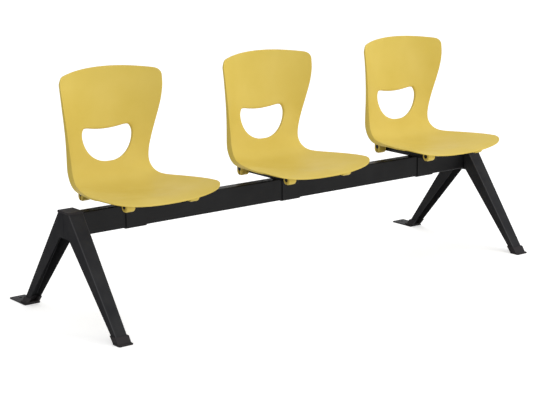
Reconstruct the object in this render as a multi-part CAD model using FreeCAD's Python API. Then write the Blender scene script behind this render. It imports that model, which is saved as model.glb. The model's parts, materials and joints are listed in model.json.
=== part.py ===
import FreeCAD, Part
import math
import os

# Beam seating: three moulded shells on steel seat frames, carried by one rectangular
# beam between two A-shaped leg frames. Millimetres, +Z up, the sitter faces -Y.
# The origin lies on the floor at the middle of the footprint.

Vector = FreeCAD.Vector
X_AXIS = Vector(1, 0, 0)
Y_AXIS = Vector(0, 1, 0)
Z_AXIS = Vector(0, 0, 1)

# Row layout
seat_count = 3
seat_pitch = 672.0
end_seat_to_leg = 243.0

# Beam: rectangular steel tube
beam_height = 80.0
beam_depth = 40.0
beam_wall = 3.0
beam_corner = 4.0
beam_bottom = 299.0
beam_end_gap = 2.0

# Leg frames: folded sheet channels, two to a frame, meeting at a seam over the beam
leg_sheet = 2.5
leg_bend = 5.0
leg_seam = 1.5
head_half_width = 29.0
foot_half_width = 22.5
head_half_depth = 35.0
web_foot_reach = 313.0
flange_foot_reach = 288.0
head_tab_half_depth = 30.0
head_tab_below_beam = 5.0
head_above_beam = 0.5
beam_notch_clearance = 0.8

# Leg head: cradle under the beam end, held by two cross bolts
cradle_sheet = 4.5
cradle_clearance = 0.2
cradle_upstand = 62.0
cradle_bolt_spacing = 26.0
cradle_bolt_above_beam_bottom = 40.0

# Moulded lid on the leg head
lid_thickness = 7.0
lid_overhang = 1.5
lid_corner = 5.0
lid_edge = 2.0
lid_rib_height = 9.0
lid_rib_thickness = 3.0
lid_rib_clearance = 0.4

# Foot socks and the floor plates of the rear feet
sole_width = 55.0
sole_length = 44.0
sole_thickness = 5.0
sole_corner = 6.0
sole_edge = 2.0
sole_heel = 5.0
sock_wall = 3.0
sock_height = 25.0
sock_clearance = 0.2
sock_root = 1.0
plate_width = 62.0
plate_thickness = 4.0
plate_behind_sole = 70.0
plate_corner = 5.0
plate_hole_radius = 5.5
plate_hole_from_end = 26.0

# Seat frame: clamp round the beam, crosshead, two arms and two cross tubes
clamp_width = 82.0
clamp_sheet = 3.5
clamp_above_beam = 14.0
crosshead_width = 216.0
crosshead_height = 13.0
crosshead_sheet = 3.5
clamp_bolt_spacing = 50.0
clamp_bolt_above_beam = 7.0
arm_spacing = 196.0
arm_width = 20.0
arm_sheet = 2.5
arm_top = 409.0
arm_end_half_height = 5.0
arm_bow = 0.25
frame_tube_radius = 8.0
frame_tube_wall = 2.0
frame_tube_length = 288.0
front_tube_y = -175.0
front_tube_z = 414.0
rear_tube_y = 99.0
rear_tube_z = 412.0
tube_plug_flange = 1.5
tube_plug_depth = 12.0

# Fasteners
bolt_radius = 4.0
bolt_head_radius = 6.5
bolt_head_height = 5.0
nut_height = 6.5
bolt_hole_clearance = 0.3

# Seat shell: one polypropylene moulding with four sockets under the pan
shell_wall = 4.5
rim_wall = 4.0
rim_flare = 0.45
socket_spacing = 255.0
socket_width = 35.0
socket_wall = 9.0
socket_clearance = 0.3
socket_mouth = 9.0
front_socket_drop = 2.0
rear_socket_drop = 9.0
socket_reach = 60.0
pan_front = 241.0
pan_shoulder_x = 165.0
pan_shoulder = 231.0
pan_corner_x = 214.0
pan_corner = 203.0
pan_side_x = 238.0
pan_side = 142.0
shell_top = 826.0
shell_top_crown = 14.0
shell_top_half_width = 203.0
shell_top_corner = 32.0
hole_half_width = 101.0
hole_top = 622.0
hole_sag = 10.0
hole_bottom = 503.0
hole_corner = 20.0
hole_belly_width = 0.72
hole_belly_height = 0.26
hole_lip_wall = 4.0
hole_lip_depth = 11.0

# Stations of the shell, from the front of the pan and up the back: centre y, centre z,
# half width, side edge y, side edge z, depth of the turned rim, and how squarely the
# section turns up towards its sides. y is from the middle of the beam, z from the floor.
shell_stations = [
    (-262, 411, 245, -272, 437, 1, 3),
    (-232, 422, 244, -232, 449, 1, 3),
    (-196, 427.5, 242, -196, 451, 1, 3),
    (-160, 428.5, 239, -157, 450.5, 1, 2.7),
    (-110, 425, 236.5, -110, 449.5, 1.5, 2.4),
    (-50, 421, 221, -50, 448, 3, 2.2),
    (8, 419, 203, 5, 446, 6, 2.2),
    (58, 423, 185, 46, 445, 9, 2.2),
    (98, 435, 171, 84, 447, 11, 2.2),
    (124, 460, 161, 112, 461, 15, 2.2),
    (135, 494, 156, 130, 488, 16, 2.2),
    (144, 535, 158, 132, 528, 13.5, 2.2),
    (154, 588, 168, 126, 582, 8, 2.2),
    (162, 645, 181, 114, 642, 6, 2.2),
    (168, 705, 194, 105, 700, 4, 2.2),
    (171, 755, 201, 103, 748, 3, 2.2),
    (173, 795, 203, 108, 785, 2, 2.2),
    (173, 835, 203, 112, 835, 2, 2.2),
]
section_shares = (-1, -0.8, -0.55, -0.28, 0, 0.28, 0.55, 0.8, 1)

# Sizes worked out from the ones above
beam_top = beam_bottom + beam_height
beam_half_depth = beam_depth / 2
leg_x = seat_pitch * (seat_count - 1) / 2 + end_seat_to_leg
head_top = beam_top + head_above_beam
head_tab_bottom = beam_bottom - head_tab_below_beam
sole_front = flange_foot_reach - sock_wall - sole_heel
sole_rear = sole_front + sole_length
plate_end = sole_rear + plate_behind_sole
beam_y = -(plate_end - sole_rear) / 2
web_lean = math.hypot(1, (web_foot_reach - head_half_depth) / head_top)
plate_hole_y = plate_end - plate_hole_from_end
seat_places = [seat_pitch * (i - (seat_count - 1) / 2) for i in range(seat_count)]
seat_names = ["left", "middle", "right"]


def box(x0, x1, y0, y1, z0, z1):
    return Part.makeBox(x1 - x0, y1 - y0, z1 - z0, Vector(x0, y0, z0))


def rounded_plate(half_x, y0, y1, z0, z1, corner):
    plate = box(-half_x, half_x, y0, y1, z0, z1)
    uprights = [e for e in plate.Edges if abs(e.tangentAt(e.FirstParameter).z) > 0.9]
    return plate.makeFillet(corner, uprights)


def mirrored_y(shape):
    return shape.mirror(Vector(0, 0, 0), Y_AXIS)


def mirrored_x(shape):
    return shape.mirror(Vector(0, 0, 0), X_AXIS)


def moved(shape, x, y):
    copy = shape.copy()
    copy.translate(Vector(x, y, 0))
    return copy


def leg_half_width(z):
    return foot_half_width + (head_half_width - foot_half_width) * z / head_top


def web_reach(z):
    return web_foot_reach + (head_half_depth - web_foot_reach) * z / head_top


def flange_reach(z):
    fall = (flange_foot_reach - head_tab_half_depth) / head_tab_bottom
    return flange_foot_reach - fall * z


def web_inside(z):
    """Inner face of the web, whose sheet measures more along Y because it leans."""
    return web_reach(z) - leg_sheet * web_lean


def leaning_solid(outline, inset):
    """Solid between two flat side faces that draw together towards the floor."""
    left = [Vector(-(leg_half_width(z) - inset), y, z) for y, z in outline]
    right = [Vector(leg_half_width(z) - inset, y, z) for y, z in outline]
    faces = [Part.Face(Part.makePolygon(side + side[:1])) for side in (left, right)]
    for i in range(len(outline)):
        j = (i + 1) % len(outline)
        loop = [left[i], left[j], right[j], right[i], left[i]]
        faces.append(Part.Face(Part.makePolygon(loop)))
    return Part.Solid(Part.makeShell(faces))


def web_edges(shape, depth):
    """The long edges where the web of a channel meets its flanges."""
    found = []
    for edge in shape.Edges:
        ends = [v.Point for v in edge.Vertexes]
        on_web = all(abs(p.y - web_reach(p.z) + depth) < 0.01 for p in ends)
        if len(ends) == 2 and on_web and abs(ends[0].z - ends[1].z) > leg_bend:
            found.append(edge)
    return found


def leg_channel(foot_z, beam_side):
    """Rear channel of a leg frame, its foot end at foot_z."""
    outline = [
        (leg_seam / 2, head_top),
        (web_reach(head_top), head_top),
        (web_reach(foot_z), foot_z),
        (flange_reach(foot_z), foot_z),
        (head_tab_half_depth, head_tab_bottom),
        (leg_seam / 2, head_tab_bottom),
    ]
    folded = leaning_solid(outline, 0)
    folded = folded.makeFillet(leg_bend, web_edges(folded, 0))
    above = head_top + leg_bend
    below = foot_z - leg_bend
    hollow = leaning_solid([
        (-leg_bend, above),
        (web_inside(above), above),
        (web_inside(below), below),
        (-leg_bend, below),
    ], leg_sheet)
    hollow = hollow.makeFillet(leg_bend - leg_sheet, web_edges(hollow, leg_sheet * web_lean))
    channel = folded.cut(hollow)
    notch_half = beam_half_depth + beam_notch_clearance
    notch_bottom = beam_bottom - beam_notch_clearance
    notch = box(0, head_half_width * 2, -notch_half, notch_half, notch_bottom, above)
    if beam_side < 0:
        notch = mirrored_x(notch)
    return channel.cut(notch)


def beam():
    half_length = leg_x + head_half_width - leg_sheet - beam_end_gap
    tube = box(-half_length, half_length, -beam_half_depth, beam_half_depth, beam_bottom, beam_top)
    along = [e for e in tube.Edges if abs(e.tangentAt(e.FirstParameter).x) > 0.9]
    tube = tube.makeFillet(beam_corner, along)
    inner = beam_half_depth - beam_wall
    bore = box(-half_length, half_length, -inner, inner, beam_bottom + beam_wall, beam_top - beam_wall)
    along = [e for e in bore.Edges if abs(e.tangentAt(e.FirstParameter).x) > 0.9]
    bore = bore.makeFillet(beam_corner - beam_wall, along)
    tube = tube.cut(bore)
    for side in (-1, 1):
        for x in cradle_bolt_places():
            tube = tube.cut(cross_hole(side * leg_x + x, cradle_bolt_z(), beam_depth))
    return tube


def cradle_bolt_places():
    return (-cradle_bolt_spacing / 2, cradle_bolt_spacing / 2)


def cradle_bolt_z():
    return beam_bottom + cradle_bolt_above_beam_bottom


def cross_hole(x, z, reach):
    radius = bolt_radius + bolt_hole_clearance
    return Part.makeCylinder(radius, 2 * reach, Vector(x, -reach, z), Y_AXIS)


def hexagon(x, y, z, radius, height):
    corners = []
    for i in range(7):
        turn = math.radians(60 * i)
        corners.append(Vector(x + radius * math.cos(turn), y, z + radius * math.sin(turn)))
    return Part.Face(Part.makePolygon(corners)).extrude(Vector(0, height, 0))


def cross_bolt(x, z, grip_half):
    """Hexagon bolt from the front and its nut behind, through pieces grip_half deep each way."""
    head = hexagon(x, -grip_half - bolt_head_height, z, bolt_head_radius, bolt_head_height)
    length = 2 * grip_half + nut_height + bolt_radius
    shank = Part.makeCylinder(bolt_radius, length, Vector(x, -grip_half, z), Y_AXIS)
    nut = hexagon(x, grip_half, z, bolt_head_radius, nut_height).cut(shank)
    return [head.fuse(shank).removeSplitter(), nut]


def cradle():
    """Folded tray that the beam end lies in, welded between the flanges of the leg head."""
    half_x = leg_half_width(head_tab_bottom) - leg_sheet - cradle_clearance
    inner = beam_half_depth + cradle_clearance
    outer = inner + cradle_sheet
    floor = beam_bottom - cradle_sheet - cradle_clearance
    tray = box(-half_x, half_x, -outer, outer, floor, floor + cradle_upstand)
    along = [e for e in tray.Edges if abs(e.tangentAt(e.FirstParameter).x) > 0.9]
    low = [e for e in along if e.BoundBox.ZMax < floor + 1]
    tray = tray.makeFillet(cradle_sheet, low)
    tray = tray.cut(box(-half_x, half_x, -inner, inner, beam_bottom - cradle_clearance, head_top))
    for x in cradle_bolt_places():
        tray = tray.cut(cross_hole(x, cradle_bolt_z(), beam_depth))
    return tray


def cradle_bolts():
    grip_half = beam_half_depth + cradle_clearance + cradle_sheet
    solids = []
    for x in cradle_bolt_places():
        solids += cross_bolt(x, cradle_bolt_z(), grip_half)
    return Part.makeCompound(solids)


def lid():
    """Moulded lid on the leg head, with two ribs that grip behind the webs."""
    half_x = head_half_width + lid_overhang
    half_y = head_half_depth + lid_overhang
    top = rounded_plate(half_x, -half_y, half_y, head_top, head_top + lid_thickness, lid_corner)
    rim = [e for e in top.Edges if e.BoundBox.ZMin > head_top + lid_thickness - 0.01]
    top = top.makeFillet(lid_edge, rim)
    rib_half_x = head_half_width - leg_bend - lid_rib_clearance
    outer = web_inside(head_top) - lid_rib_clearance
    for side in (-1, 1):
        near = side * (outer - lid_rib_thickness)
        far = side * outer
        rib = box(-rib_half_x, rib_half_x, min(near, far), max(near, far), head_top - lid_rib_height, head_top)
        top = top.fuse(rib)
    return top.removeSplitter()


def foot_sock(base):
    """Moulded sock on a rear leg end, standing on the surface at height base."""
    half_x = sole_width / 2
    sole = rounded_plate(half_x, sole_front, sole_rear, base, base + sole_thickness, sole_corner)
    rim = [e for e in sole.Edges if e.BoundBox.ZMin > base + sole_thickness - 0.01]
    sole = sole.makeFillet(sole_edge, rim)
    low = base + sole_thickness
    high = base + sock_height
    around = leaning_solid([
        (flange_reach(low) - sock_wall, low - sock_root),
        (web_reach(low) + sock_wall, low - sock_root),
        (web_reach(high) + sock_wall, high),
        (flange_reach(high) - sock_wall, high),
    ], -sock_wall)
    sock = sole.fuse(around)
    slack = sock_clearance
    top = high + sock_wall
    leg_end = leaning_solid([
        (flange_reach(low) - slack, low),
        (web_reach(low) + slack, low),
        (web_reach(top) + slack, top),
        (flange_reach(top) - slack, top),
    ], -slack)
    sock = sock.cut(leg_end)
    core_inset = leg_sheet + slack
    bend_room = (leg_bend - leg_sheet) * web_lean
    core = leaning_solid([
        (flange_reach(low) + slack, low - sock_root),
        (web_inside(low) - bend_room, low - sock_root),
        (web_inside(high) - bend_room, high),
        (flange_reach(high) + slack, high),
    ], core_inset)
    slot = leaning_solid([
        (flange_reach(low) - sock_wall * 2, low),
        (web_inside(low) - bend_room - sock_wall, low),
        (web_inside(top) - bend_room - sock_wall, top),
        (flange_reach(top) - sock_wall * 2, top),
    ], core_inset + sock_wall)
    return sock.fuse(core).cut(slot).removeSplitter()


def floor_plate():
    plate = rounded_plate(plate_width / 2, sole_front, plate_end, 0, plate_thickness, plate_corner)
    hole = Part.makeCylinder(plate_hole_radius, plate_thickness, Vector(0, plate_hole_y, 0))
    return plate.cut(hole)


def clamp():
    """U-shaped strap under the beam that the crosshead is bolted into."""
    half_x = clamp_width / 2
    outer = beam_half_depth + clamp_sheet
    low = beam_bottom - clamp_sheet
    strap = box(-half_x, half_x, -outer, outer, low, beam_top + clamp_above_beam)
    along = [e for e in strap.Edges if abs(e.tangentAt(e.FirstParameter).x) > 0.9]
    strap = strap.makeFillet(clamp_sheet + beam_corner, [e for e in along if e.BoundBox.ZMax < low + 1])
    room = box(-half_x, half_x, -beam_half_depth, beam_half_depth, beam_bottom, beam_top + beam_height)
    along = [e for e in room.Edges if abs(e.tangentAt(e.FirstParameter).x) > 0.9]
    room = room.makeFillet(beam_corner, [e for e in along if e.BoundBox.ZMax < beam_bottom + 1])
    strap = strap.cut(room)
    for x in (-clamp_bolt_spacing / 2, clamp_bolt_spacing / 2):
        strap = strap.cut(cross_hole(x, beam_top + clamp_bolt_above_beam, beam_depth))
    return strap


def crosshead():
    """Inverted channel on the beam, between the sides of the clamp."""
    half_x = crosshead_width / 2
    top = beam_top + crosshead_height
    head = box(-half_x, half_x, -beam_half_depth, beam_half_depth, beam_top, top)
    inner = beam_half_depth - crosshead_sheet
    head = head.cut(box(-half_x, half_x, -inner, inner, beam_top, top - crosshead_sheet))
    for x in (-clamp_bolt_spacing / 2, clamp_bolt_spacing / 2):
        head = head.cut(cross_hole(x, beam_top + clamp_bolt_above_beam, beam_depth))
    return head


def clamp_bolts():
    solids = []
    for x in (-clamp_bolt_spacing / 2, clamp_bolt_spacing / 2):
        solids += cross_bolt(x, beam_top + clamp_bolt_above_beam, beam_half_depth + clamp_sheet)
    return Part.makeCompound(solids)


def arm(side):
    """Pressed arm, open above, deep over the beam and drawn up to the cross tubes."""
    seat = beam_top + crosshead_height
    front_low = front_tube_z - arm_end_half_height
    rear_low = rear_tube_z - arm_end_half_height
    front_high = front_tube_z + arm_end_half_height
    rear_high = rear_tube_z + arm_end_half_height
    start = Vector(0, front_tube_y, front_low)
    front_toe = Vector(0, -beam_half_depth, seat)
    rear_toe = Vector(0, beam_half_depth, seat)
    end = Vector(0, rear_tube_y, rear_low)
    front_mid = (start + front_toe) / 2 + Vector(0, 0, (front_low - seat) * arm_bow)
    rear_mid = (end + rear_toe) / 2 + Vector(0, 0, (rear_low - seat) * arm_bow)
    edges = [
        Part.Arc(start, front_mid, front_toe).toShape(),
        Part.makeLine(front_toe, rear_toe),
        Part.Arc(rear_toe, rear_mid, end).toShape(),
        Part.makeLine(end, Vector(0, rear_tube_y, rear_high)),
        Part.makeLine(Vector(0, rear_tube_y, rear_high), Vector(0, beam_half_depth, arm_top)),
        Part.makeLine(Vector(0, beam_half_depth, arm_top), Vector(0, -beam_half_depth, arm_top)),
        Part.makeLine(Vector(0, -beam_half_depth, arm_top), Vector(0, front_tube_y, front_high)),
        Part.makeLine(Vector(0, front_tube_y, front_high), start),
    ]
    outline = Part.Face(Part.Wire(edges))
    solid = outline.extrude(Vector(arm_width, 0, 0))
    trough = outline.extrude(Vector(arm_width - 2 * arm_sheet, 0, 0))
    trough.translate(Vector(arm_sheet, 0, arm_sheet))
    solid = solid.cut(trough)
    solid.translate(Vector(side * arm_spacing / 2 - arm_width / 2, 0, 0))
    for y, z in ((front_tube_y, front_tube_z), (rear_tube_y, rear_tube_z)):
        solid = solid.cut(tube_room(y, z, frame_tube_radius))
    return biggest(solid)


def biggest(shape):
    return max(shape.Solids, key=lambda s: s.Volume)


def tube_room(y, z, radius):
    half = frame_tube_length
    return Part.makeCylinder(radius, 2 * half, Vector(-half, y, z), X_AXIS)


def frame_tube(y, z):
    half = frame_tube_length / 2
    outer = Part.makeCylinder(frame_tube_radius, 2 * half, Vector(-half, y, z), X_AXIS)
    return outer.cut(tube_room(y, z, frame_tube_radius - frame_tube_wall))


def tube_plugs():
    """Moulded plugs in the four open ends of the cross tubes."""
    solids = []
    half = frame_tube_length / 2
    for y, z in ((front_tube_y, front_tube_z), (rear_tube_y, rear_tube_z)):
        for side in (-1, 1):
            outward = Vector(side, 0, 0)
            face = Vector(side * half, y, z)
            flange = Part.makeCylinder(frame_tube_radius, tube_plug_flange, face, outward)
            back = face - outward * tube_plug_depth
            stem = Part.makeCylinder(frame_tube_radius - frame_tube_wall, tube_plug_depth, back, outward)
            solids.append(flange.fuse(stem).removeSplitter())
    return Part.makeCompound(solids)


def station_frame(index):
    """Direction away from the sitter at a station, square to the way the profile runs."""
    before = shell_stations[max(index - 1, 0)]
    after = shell_stations[min(index + 1, len(shell_stations) - 1)]
    return Vector(0, after[1] - before[1], before[0] - after[0]).normalize()


def station_curve(index, depth, inset):
    """Points across one station, depth below the sitting surface and inset from its sides.

    The two end stations turn up square to the profile, which keeps them flat for the loft.
    """
    centre_y, centre_z, half_width, edge_y, edge_z, rim, power = shell_stations[index]
    away = station_frame(index)
    turn_up = Vector(0, edge_y - centre_y, edge_z - centre_z)
    if index in (0, len(shell_stations) - 1):
        turn_up = away * -turn_up.Length
    points = []
    for share in section_shares:
        t = share * (1 - inset / half_width)
        middle = Vector(t * half_width, centre_y, centre_z)
        points.append(middle + turn_up * abs(t) ** power + away * depth)
    return points


def curve_edge(points):
    curve = Part.BSplineCurve()
    curve.interpolate(points)
    return curve.toShape()


def closed_section(front, rear, left_corners, right_corners):
    right_run = [front[-1]] + right_corners + [rear[-1]]
    left_run = [rear[0]] + left_corners + [front[0]]
    edges = [curve_edge(front)]
    edges += [Part.makeLine(p, q) for p, q in zip(right_run, right_run[1:])]
    edges.append(curve_edge(rear[::-1]))
    edges += [Part.makeLine(p, q) for p, q in zip(left_run, left_run[1:])]
    return Part.Wire(edges)


def shell_sheet():
    """The moulding's wall with its rim turned back along both sides."""
    wires = []
    for i in range(len(shell_stations)):
        rim = shell_stations[i][5]
        away = station_frame(i)
        front = station_curve(i, 0, 0)
        rear = station_curve(i, shell_wall, rim_wall)
        drop = away * rim
        flare = X_AXIS * rim * rim_flare
        right = [front[-1] + away * shell_wall + drop + flare, rear[-1] + drop + flare]
        left = [rear[0] + drop - flare, front[0] + away * shell_wall + drop - flare]
        wires.append(closed_section(front, rear, left, right))
    return Part.makeLoft(wires, True, False)


def shell_layer(start, end):
    """Plain layer between two depths below the sitting surface."""
    wires = []
    for i in range(len(shell_stations)):
        front = station_curve(i, start, rim_wall)
        rear = station_curve(i, end, rim_wall)
        wires.append(closed_section(front, rear, [], []))
    return Part.makeLoft(wires, True, False)


def arcs_through(points):
    """Arcs through the points, each from one even point to the next."""
    edges = []
    for i in range(0, len(points) - 1, 2):
        edges.append(Part.Arc(points[i], points[i + 1], points[i + 2]).toShape())
    return edges


def hole_outline(grow):
    """Carry hole seen from the front: sagging top edge, small corners, round belly."""
    half = hole_half_width + grow
    top = hole_top + grow
    bottom = hole_bottom - grow
    corner = hole_corner + grow
    side_z = top - corner
    knee = corner * math.sqrt(0.5)
    belly_x = half * hole_belly_width
    belly_z = bottom + (side_z - bottom) * hole_belly_height
    points = [
        Vector(-half + corner, 0, top),
        Vector(0, 0, top - hole_sag),
        Vector(half - corner, 0, top),
        Vector(half - corner + knee, 0, side_z + knee),
        Vector(half, 0, side_z),
        Vector(belly_x, 0, belly_z),
        Vector(0, 0, bottom),
        Vector(-belly_x, 0, belly_z),
        Vector(-half, 0, side_z),
        Vector(-half + corner - knee, 0, side_z + knee),
        Vector(-half + corner, 0, top),
    ]
    return Part.Face(Part.Wire(arcs_through(points)))


def top_outline():
    """What the back keeps seen from the front: crowned top edge and rounded top corners."""
    half = shell_top_half_width
    corner = shell_top_corner
    shoulder = shell_top - shell_top_crown
    knee = corner * (1 - math.sqrt(0.5))
    far = Vector(seat_pitch / 2, 0, 0)
    points = [
        Vector(half, 0, shoulder - corner),
        Vector(half - knee, 0, shoulder - knee),
        Vector(half - corner, 0, shoulder),
        Vector(0, 0, shell_top),
        Vector(corner - half, 0, shoulder),
        Vector(knee - half, 0, shoulder - knee),
        Vector(-half, 0, shoulder - corner),
    ]
    low = Vector(0, 0, -shell_top)
    corners = [points[6], points[6] - far + low, points[0] + far + low, points[0]]
    edges = arcs_through(points) + [Part.makeLine(p, q) for p, q in zip(corners, corners[1:])]
    return Part.Face(Part.Wire(edges))


def pan_outline():
    """What the pan keeps seen from above: bowed front edge and rounded front corners."""
    far = Vector(seat_pitch / 2, 0, 0)
    side = Vector(pan_side_x, -pan_side, 0)
    corner = Vector(pan_corner_x, -pan_corner, 0)
    shoulder = Vector(pan_shoulder_x, -pan_shoulder, 0)
    points = [side, corner, shoulder, Vector(0, -pan_front, 0)]
    points += [Vector(-p.x, p.y, 0) for p in (shoulder, corner, side)]
    back = Vector(0, seat_pitch, 0)
    corners = [points[6], back - far * 2 + points[6], back + far * 2 + points[0], points[0]]
    edges = arcs_through(points) + [Part.makeLine(p, q) for p, q in zip(corners, corners[1:])]
    return Part.Face(Part.Wire(edges))


def through_back(face):
    near = face.copy()
    near.translate(Vector(0, -seat_pitch / 2, 0))
    return near.extrude(Vector(0, seat_pitch, 0))


def socket(x, y, z, drop, bore):
    """One of the four sockets that hold the cross tubes, rounded below, open at its foot."""
    outer = frame_tube_radius + socket_wall
    half = socket_width / 2
    low = z - drop
    post = box(x - half, x + half, y - outer, y + outer, low, low + socket_reach)
    round_end = Part.makeCylinder(outer, socket_width, Vector(x - half, y, low), X_AXIS)
    mouth = box(x - half, x + half, y - socket_mouth / 2, y + socket_mouth / 2, low - outer, z)
    return post.fuse(round_end).cut(bore).cut(mouth)


def shell():
    sheet = shell_sheet()
    opening = through_back(hole_outline(0))
    lip_zone = through_back(hole_outline(hole_lip_wall)).cut(opening)
    lip = shell_layer(shell_wall / 2, hole_lip_depth).common(lip_zone)
    body = sheet.common(through_back(top_outline()))
    body = body.common(pan_outline().extrude(Z_AXIS * shell_top))
    body = body.cut(opening).fuse(lip)
    under = shell_layer(shell_wall / 2, shell_wall + socket_reach)
    rows = (
        (front_tube_y, front_tube_z, front_socket_drop),
        (rear_tube_y, rear_tube_z, rear_socket_drop),
    )
    for y, z, drop in rows:
        bore = tube_room(y, z, frame_tube_radius + socket_clearance)
        for side in (-1, 1):
            piece = socket(side * socket_spacing / 2, y, z, drop, bore)
            body = body.fuse(piece.common(under))
    return biggest(body)


def save(name, shape, x, y):
    placed = moved(shape, x, y)
    placed.exportStep("parts/" + name + ".step")
    size = placed.BoundBox
    print("%-24s solids %d valid %s  %7.1f %7.1f %7.1f  to %7.1f %7.1f %7.1f" % (
        name, len(placed.Solids), placed.isValid(),
        size.XMin, size.YMin, size.ZMin, size.XMax, size.YMax, size.ZMax))


def make_leg(name, side):
    x = side * leg_x
    front_base = 0
    rear_base = plate_thickness
    front = mirrored_y(leg_channel(front_base + sole_thickness, -side))
    rear = leg_channel(rear_base + sole_thickness, -side)
    save("leg_front_" + name, front, x, beam_y)
    save("leg_rear_" + name, rear, x, beam_y)
    save("leg_cradle_" + name, cradle(), x, beam_y)
    save("cradle_bolts_" + name, cradle_bolts(), x, beam_y)
    save("leg_lid_" + name, lid(), x, beam_y)
    save("foot_front_" + name, mirrored_y(foot_sock(front_base)), x, beam_y)
    save("foot_rear_" + name, foot_sock(rear_base), x, beam_y)
    save("floor_plate_" + name, floor_plate(), x, beam_y)


def make_seats():
    pieces = {
        "seat_shell": shell(),
        "beam_clamp": clamp(),
        "crosshead": crosshead(),
        "clamp_bolts": clamp_bolts(),
        "arm_outer": arm(-1),
        "arm_inner": arm(1),
        "front_tube": frame_tube(front_tube_y, front_tube_z),
        "rear_tube": frame_tube(rear_tube_y, rear_tube_z),
        "tube_plugs": tube_plugs(),
    }
    for seat, x in zip(seat_names, seat_places):
        for name, shape in pieces.items():
            save(name + "_" + seat, shape, x, beam_y)


os.makedirs("parts", exist_ok=True)
save("beam", beam(), 0, beam_y)
make_leg("left", -1)
make_leg("right", 1)
make_seats()
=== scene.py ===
# %% [markdown]
# # A row of moulded seats on a beam
# Most of the steelwork of this bench comes ready made from the frame: beam, folded legs, clamps, bolts
# and tubes. This lesson dresses it. The plastic shells with their tube sockets, and the pressed arms
# and yokes under them, are modelled here, and everything gets a finish that suits how it was made.

# %% Load the frame
import json
import math
import bpy
from mathutils import Euler, Matrix, Vector


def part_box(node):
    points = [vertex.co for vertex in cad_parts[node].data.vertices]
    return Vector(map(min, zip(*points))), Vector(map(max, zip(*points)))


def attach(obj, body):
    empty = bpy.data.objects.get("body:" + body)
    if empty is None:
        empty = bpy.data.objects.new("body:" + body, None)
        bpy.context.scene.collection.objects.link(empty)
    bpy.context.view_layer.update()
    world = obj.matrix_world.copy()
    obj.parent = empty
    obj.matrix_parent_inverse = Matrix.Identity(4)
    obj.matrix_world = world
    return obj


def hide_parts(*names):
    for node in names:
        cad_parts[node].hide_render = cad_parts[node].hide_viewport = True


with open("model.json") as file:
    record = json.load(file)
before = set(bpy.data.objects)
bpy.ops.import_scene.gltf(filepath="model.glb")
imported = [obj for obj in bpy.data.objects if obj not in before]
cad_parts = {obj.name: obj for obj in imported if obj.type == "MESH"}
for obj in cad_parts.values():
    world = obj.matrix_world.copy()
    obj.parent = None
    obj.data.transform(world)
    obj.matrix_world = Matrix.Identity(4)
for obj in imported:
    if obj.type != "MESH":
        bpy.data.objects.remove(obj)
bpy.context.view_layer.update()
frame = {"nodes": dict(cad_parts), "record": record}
nodes = frame["nodes"]
MM = 0.001
print("nodes in the frame:", len(nodes))

# %% [markdown]
# ## The camera
# The camera stands low in front of the row, near its left end, and looks along it. Its lens and place
# were worked out by matching the repeated seats and the two leg frames, so the perspective is right.
# A look-at constraint would be quicker, but it couldn't hold the slight tilt of the picture.

# %% Camera
PICTURE_WIDTH = 537
FOCAL_PIXELS = 1528.0
SENSOR_WIDTH = 36.0
CAMERA_TURN = math.radians(37.79)
CAMERA_DIP = math.radians(12.70)
CAMERA_ROLL = math.radians(-0.34)
CAMERA_FROM_BEAM = Vector((-3.407, -4.2804, 1.524))

beam_low, beam_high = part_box("beam")
beam_centre_y = (beam_low.y + beam_high.y) / 2

camera_data = bpy.data.cameras.new("camera")
camera_data.sensor_width = SENSOR_WIDTH
camera_data.lens = SENSOR_WIDTH * FOCAL_PIXELS / PICTURE_WIDTH
camera = bpy.data.objects.new("camera", camera_data)
bpy.context.scene.collection.objects.link(camera)
turn = Euler((0, 0, -CAMERA_TURN)).to_matrix().to_4x4()
dip = Euler((math.pi / 2 - CAMERA_DIP, 0, 0)).to_matrix().to_4x4()
roll = Euler((0, 0, CAMERA_ROLL)).to_matrix().to_4x4()
place = Matrix.Translation(CAMERA_FROM_BEAM + Vector((0, beam_centre_y, 0)))
camera.matrix_world = place @ turn @ dip @ roll
bpy.context.scene.camera = camera
bpy.context.scene.view_settings.view_transform = "Standard"
print("lens in mm:", round(camera_data.lens, 1))

# %% [markdown]
# ## Colours and nodes
# Colours are written as sRGB hex values, as a colour picker shows them, and one function turns them
# to the linear values that the shader wants. A second small function adds any node, sets its inputs
# and links it, so that each material below reads as a short list of what it is made of.

# %% Helpers for materials
def linear(hex_colour):
    channels = [int(hex_colour[i:i + 2], 16) / 255 for i in (1, 3, 5)]
    steps = [c / 12.92 if c <= 0.04045 else ((c + 0.055) / 1.055) ** 2.4 for c in channels]
    return (*steps, 1.0)


def add_node(tree, kind, inputs=None, **settings):
    """Adds a node with its settings, and links or sets its inputs, by name or by number."""
    node = tree.nodes.new(kind)
    for name, value in settings.items():
        setattr(node, name, value)
    for name, value in (inputs or {}).items():
        if isinstance(value, bpy.types.NodeSocket):
            tree.links.new(value, node.inputs[name])
        else:
            node.inputs[name].default_value = value
    return node


def new_material(name, **shader_inputs):
    """A material, its nodes and its shader, whose plain values are set on its own sockets."""
    material = bpy.data.materials.new(name)
    material.use_nodes = True
    tree = material.node_tree
    shader = tree.nodes["Principled BSDF"]
    for key, value in shader_inputs.items():
        shader.inputs[key.replace("_", " ")].default_value = value
    return material, tree, shader


print("a mid grey in linear light:", round(linear("#808080")[0], 3))

# %% [markdown]
# ## Patches and fine relief
# No moulded or sprayed surface is quite even: its colour and gloss drift over soft patches, and fine
# bumps scatter the light. An image could be painted for both, but noise needs no unwrapping and takes
# a real size, because its scale is one over the width of a blob. Noise rarely leaves the range from
# 0.3 to 0.7, so that range is spread over the wanted values.

# %% Patterns
NOISE_LOW = 0.3
NOISE_HIGH = 0.7


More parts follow.
